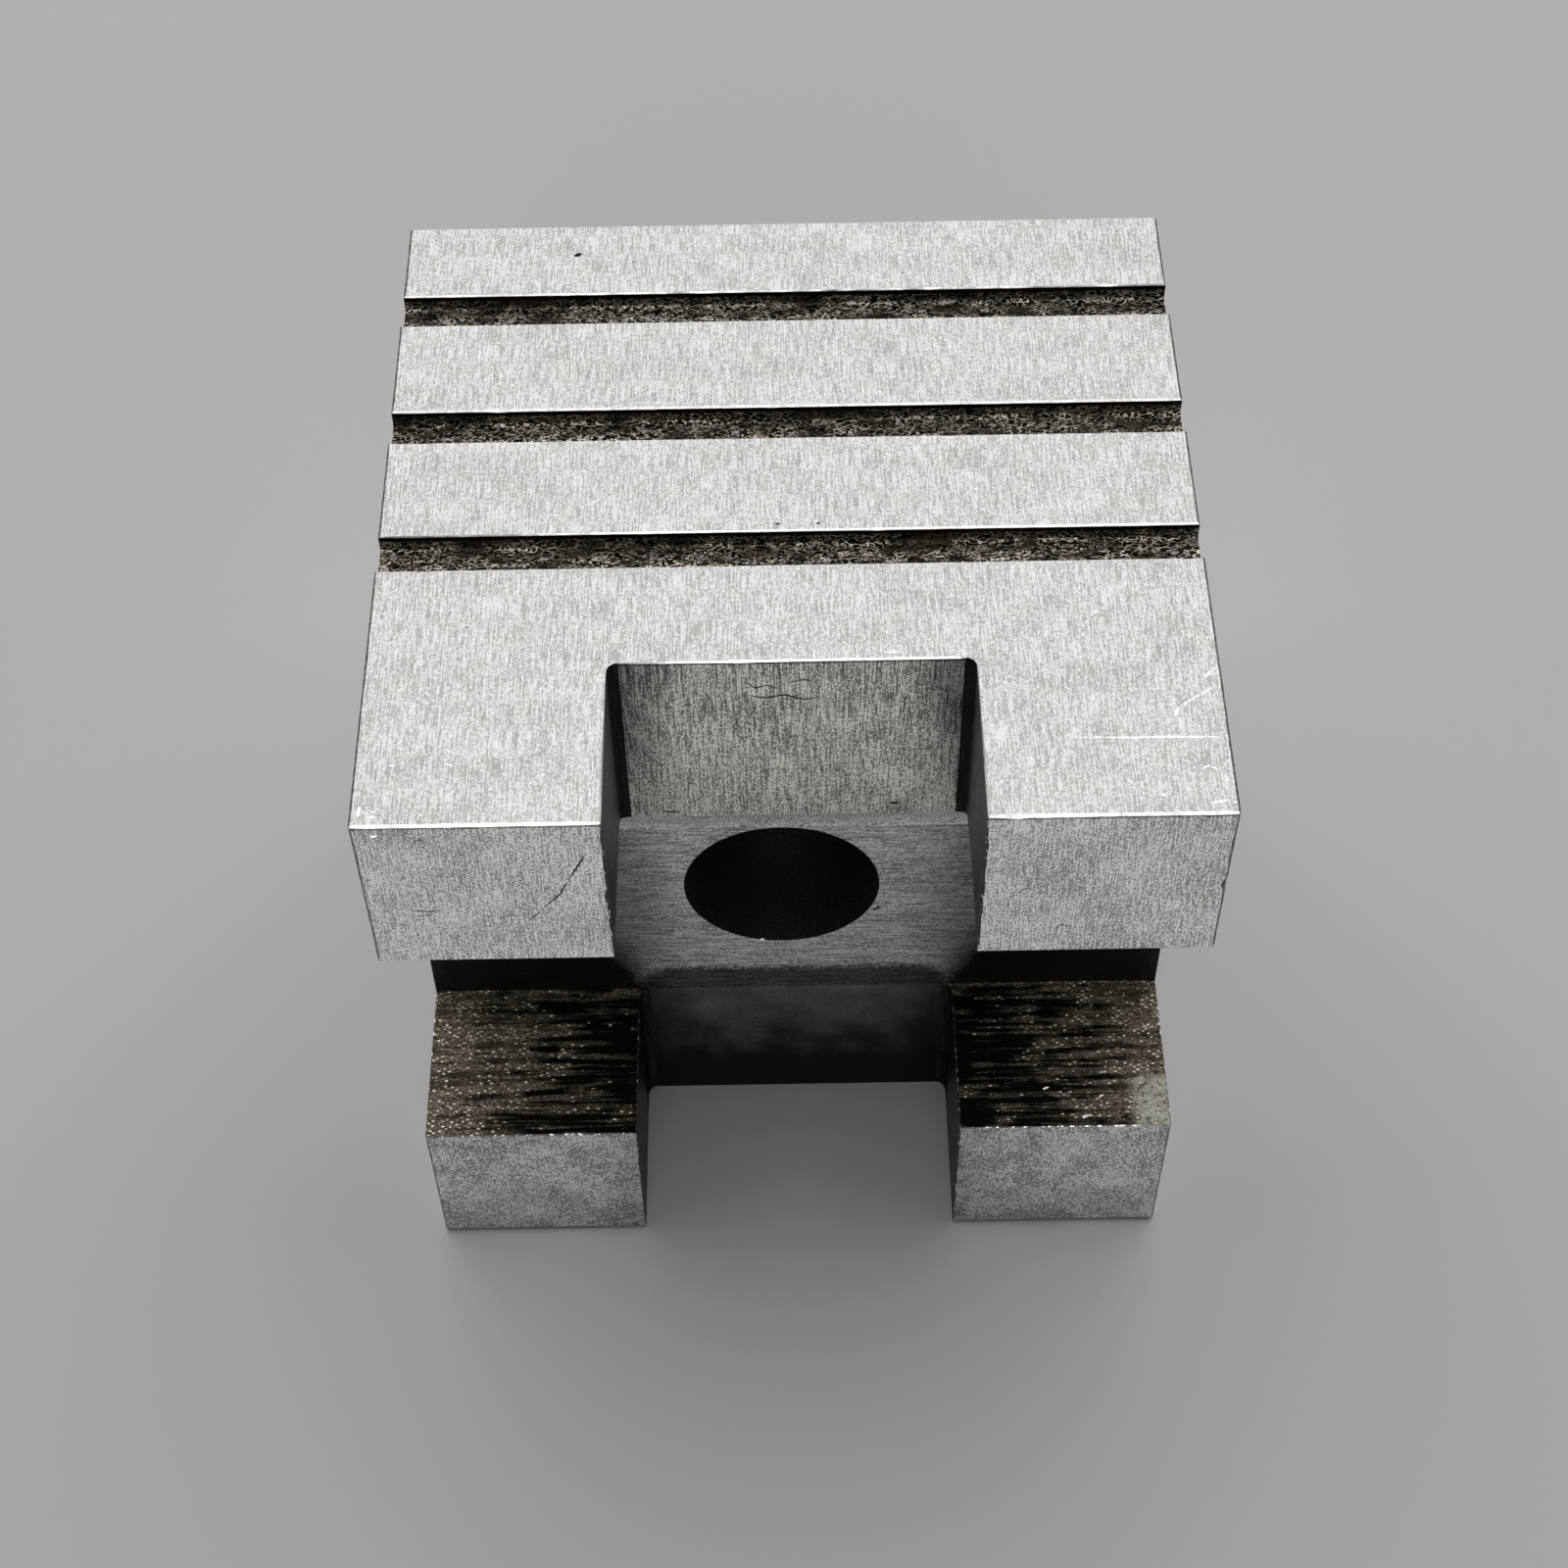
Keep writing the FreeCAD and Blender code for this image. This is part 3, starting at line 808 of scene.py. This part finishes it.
def finish_scaled_wall():
    """Dark scale on the wall of the lower slot, faintly mottled, with painted shade that leaves it lightest
    along its top and darkens it downwards and towards the sides.
    """
    nodes = Nodes("scaled_wall")
    mottle = nodes.cloud((0.16, 0.16, 0.22), 4, 0.7)
    streaks = nodes.cloud((0.5, 0.5, 5), 3, 0.5)
    clouds = nodes.cloud((3, 3, 3), 3)
    shade = nodes.span(nodes.sum(nodes.product(mottle, 0.65), nodes.sum(
        nodes.product(streaks, 0.1), nodes.product(clouds, 0.25))), 0.36, 0.62, 0.35, 1)
    wavy = nodes.sum(nodes.z, nodes.product(nodes.sum(clouds, -0.5), 10 * MM))
    # Painted shade: darker downwards and towards the sides.
    painted_shade = nodes.product(nodes.span(wavy, 5 * MM, 16 * MM, 0.02, 1),
                            nodes.span(nodes.size_of(nodes.x), 12.4 * MM, 8 * MM, 0.25, 1))
    colour = nodes.mix(nodes.product(shade, painted_shade), (0.010, 0.009, 0.008, 1), (0.165, 0.153, 0.145, 1))
    nodes.finish(colour, nodes.span(mottle, 0.3, 0.7, 0.75, 0.5), mottle, 0.02)


def finish_leg_sides():
    """Black, matt inner faces of the lower pads that reflect nothing: painted shade over a faint mottle of
    scale.
    """
    nodes = Nodes("leg_side")
    mottle = nodes.cloud((0.25, 0.25, 0.3), 4, 0.7)
    streaks = nodes.cloud((0.4, 0.4, 3), 3, 0.6)
    shade = nodes.span(nodes.sum(nodes.product(mottle, 0.5), nodes.product(streaks, 0.5)), 0.4, 0.66)
    # Painted shade: near-black colour with no reflection.
    nodes.finish(nodes.mix(shade, (0.006, 0.005, 0.005, 1), (0.035, 0.031, 0.028, 1)),
                 nodes.span(mottle, 0.3, 0.7, 0.95, 0.75), mottle, 0.02, metal=0.0)
    nodes.surface.inputs["Specular IOR Level"].default_value = 0.0


def finish_edge(name, dark, light, roughness, low=0.35, high=0.65):
    """Edge metal, mottled unevenly between two greys; each call sets its look: burnished, fresh or dirty,
    painted shade or painted glints.
    """
    nodes = Nodes(name)
    shade = nodes.span(nodes.cloud((0.45, 0.45, 0.45), 3), low, high)
    nodes.finish(nodes.mix(shade, grey(dark), grey(light)), roughness, shade, 0.006)


# Painted light and shade: one ground steel at a different level on each face, brightest on the fronts and
# the slot's back, darkest in the slot's sides and corners.
ground("ground_top", 1, 0.445, 0.27, lines=0.45)
ground("ground_front", 2, 0.82, 0.64, lines=0.38, patches=0.18, roughness=0.55, shading=lip_shadow)
ground("ground_side", 1, 0.46, 0.27, lines=0.45)
ground("ground_back", 2, 0.5, 0.33, lines=0.45)
ground("leg_front", 2, 0.52, 0.55, lines=0.1, patches=0.4, size=0.17, pits=0.3, roughness=0.55,
       shading=leg_shading)
ground("slot_back", 2, 0.82, 0.75, lines=0.4, size=0.14, roughness=0.5, warmth=0.035, shading=back_shading)
# Painted shade: the slot's sides and rounded corners are near black.
ground("slot_side", 2, 0.10, 0.7, lines=0.5, shading=slot_shading)
ground("slot_corner", 2, 0.012, 0.6)
ground("channel_wall", 0, 0.49, 0.6, lines=0.45, size=0.15, roughness=0.5, shading=channel_shading)
ground("channel_curve", 0, 0.64, 0.5, lines=0.3, pits=0.3, roughness=0.55, shading=curve_shading)
ground("bore_wall", 0, 0.08, 0.5)
finish_ledges()
finish_grooves()
finish_scaled_wall()
finish_leg_sides()
finish_edge("bright_edge", 0.75, 1.0, 0.32, 0.3, 0.5)
# Painted shade: a dark outline along the sides, the back and the base.
finish_edge("outline_shade_edge", 0.05, 0.3, 0.4)
# Painted shadow: near black along the foot of the lower pads.
finish_edge("foot_shadow_edge", 0.01, 0.06, 0.6)
# Painted glints: bright specks on dark inner edges.
finish_edge("specked_edge", 0.07, 0.9, 0.35, 0.55, 0.64)
finish_edge("fresh_mark", 0.6, 1.0, 0.3, 0.35, 0.55)
finish_edge("dark_mark", 0.01, 0.05, 0.6)


# Floor, light and camera

# Brightness of the background as seen, as mirrored in the steel, and as light on the floor
BACKGROUND = 0.45
MIRRORED = 0.7
AMBIENT = 0.05

# Distance from the block, in metres, over which the floor blends into the background
FADE_START = 0.3
FADE_END = 1.0

CAMERA_PLACE = Vector((-0.00048, -0.13914, 0.20623))
CAMERA_RIGHT = Vector((0.99986377, -0.01249935, -0.01078004))
CAMERA_UP = Vector((0.01647887, 0.79325219, 0.6086702))
LENS = 62.484

# What the lamps point at
MIDDLE = (0, 0, 0.03)


def add_floor():
    """Pale floor, which the camera sees blend into the background far from the block."""
    deselect_objects()
    bpy.ops.mesh.primitive_plane_add(size=8)
    floor = bpy.context.object
    floor.name = "floor"
    paper = bpy.data.materials.new("pale_floor")
    paper.use_nodes = True
    tree = paper.node_tree
    surface = tree.nodes["Principled BSDF"]
    surface.inputs["Base Color"].default_value = (0.84, 0.84, 0.835, 1)
    surface.inputs["Roughness"].default_value = 0.8
    place = tree.nodes.new("ShaderNodeTexCoord")
    distance = tree.nodes.new("ShaderNodeVectorMath")
    distance.operation = "LENGTH"
    tree.links.new(place.outputs["Object"], distance.inputs[0])
    far = tree.nodes.new("ShaderNodeMapRange")
    far.inputs["From Min"].default_value = FADE_START
    far.inputs["From Max"].default_value = FADE_END
    tree.links.new(distance.outputs["Value"], far.inputs["Value"])
    seen = tree.nodes.new("ShaderNodeLightPath")
    share = tree.nodes.new("ShaderNodeMath")
    share.operation = "MULTIPLY"
    tree.links.new(far.outputs[0], share.inputs[0])
    tree.links.new(seen.outputs["Is Camera Ray"], share.inputs[1])
    glow = tree.nodes.new("ShaderNodeEmission")
    glow.inputs["Strength"].default_value = BACKGROUND
    blend = tree.nodes.new("ShaderNodeMixShader")
    tree.links.new(share.outputs[0], blend.inputs[0])
    tree.links.new(surface.outputs[0], blend.inputs[1])
    tree.links.new(glow.outputs[0], blend.inputs[2])
    tree.links.new(blend.outputs[0], tree.nodes["Material Output"].inputs["Surface"])
    floor.data.materials.append(paper)


def add_lamp(name, place, width, height, power):
    """Soft lamp that lights the scene but isn't in the picture itself."""
    lamp = bpy.data.lights.new(name, "AREA")
    lamp.shape = "RECTANGLE"
    lamp.size = width
    lamp.size_y = height
    lamp.energy = power
    holder = bpy.data.objects.new(name, lamp)
    bpy.context.scene.collection.objects.link(holder)
    holder.location = place
    holder.rotation_euler = (Vector(MIDDLE) - Vector(place)).to_track_quat("-Z", "Y").to_euler()
    holder.visible_camera = False


def add_studio():
    """Pale surroundings, which the camera and the steel see brighter than they light the floor."""
    world = bpy.data.worlds.new("studio")
    bpy.context.scene.world = world
    world.use_nodes = True
    tree = world.node_tree
    rays = tree.nodes.new("ShaderNodeLightPath")
    strength = AMBIENT
    for kind, level in (("Is Camera Ray", BACKGROUND), ("Is Glossy Ray", MIRRORED),
                        ("Is Transmission Ray", MIRRORED)):
        choice = tree.nodes.new("ShaderNodeMapRange")
        tree.links.new(rays.outputs[kind], choice.inputs["Value"])
        choice.inputs["To Max"].default_value = level
        if isinstance(strength, bpy.types.NodeSocket):
            tree.links.new(strength, choice.inputs["To Min"])
        else:
            choice.inputs["To Min"].default_value = strength
        strength = choice.outputs[0]
    tree.links.new(strength, tree.nodes["Background"].inputs["Strength"])
    tree.nodes["Background"].inputs["Color"].default_value = (1, 1, 1, 1)


def add_camera():
    """Camera at the place and the angle of the photograph."""
    back = CAMERA_RIGHT.cross(CAMERA_UP)
    lens = bpy.data.cameras.new("camera")
    lens.sensor_width = 36
    lens.lens = LENS
    camera = bpy.data.objects.new("camera", lens)
    bpy.context.scene.collection.objects.link(camera)
    turn = Matrix((CAMERA_RIGHT, CAMERA_UP, back)).transposed().to_4x4()
    camera.matrix_world = Matrix.Translation(CAMERA_PLACE) @ turn
    lens.clip_start = 0.01
    bpy.context.scene.camera = camera


add_floor()
add_camera()
add_lamp("overhead", (0, 0.66, 1.04), width=2.2, height=2.2, power=13.9)
add_lamp("front", (0, -0.8, 0.62), width=0.3, height=0.3, power=0.4)
add_lamp("low_front", (0, -1.1, 0.07), width=0.6, height=0.12, power=2.6)
add_studio()
bpy.context.scene.view_settings.view_transform = "Standard"
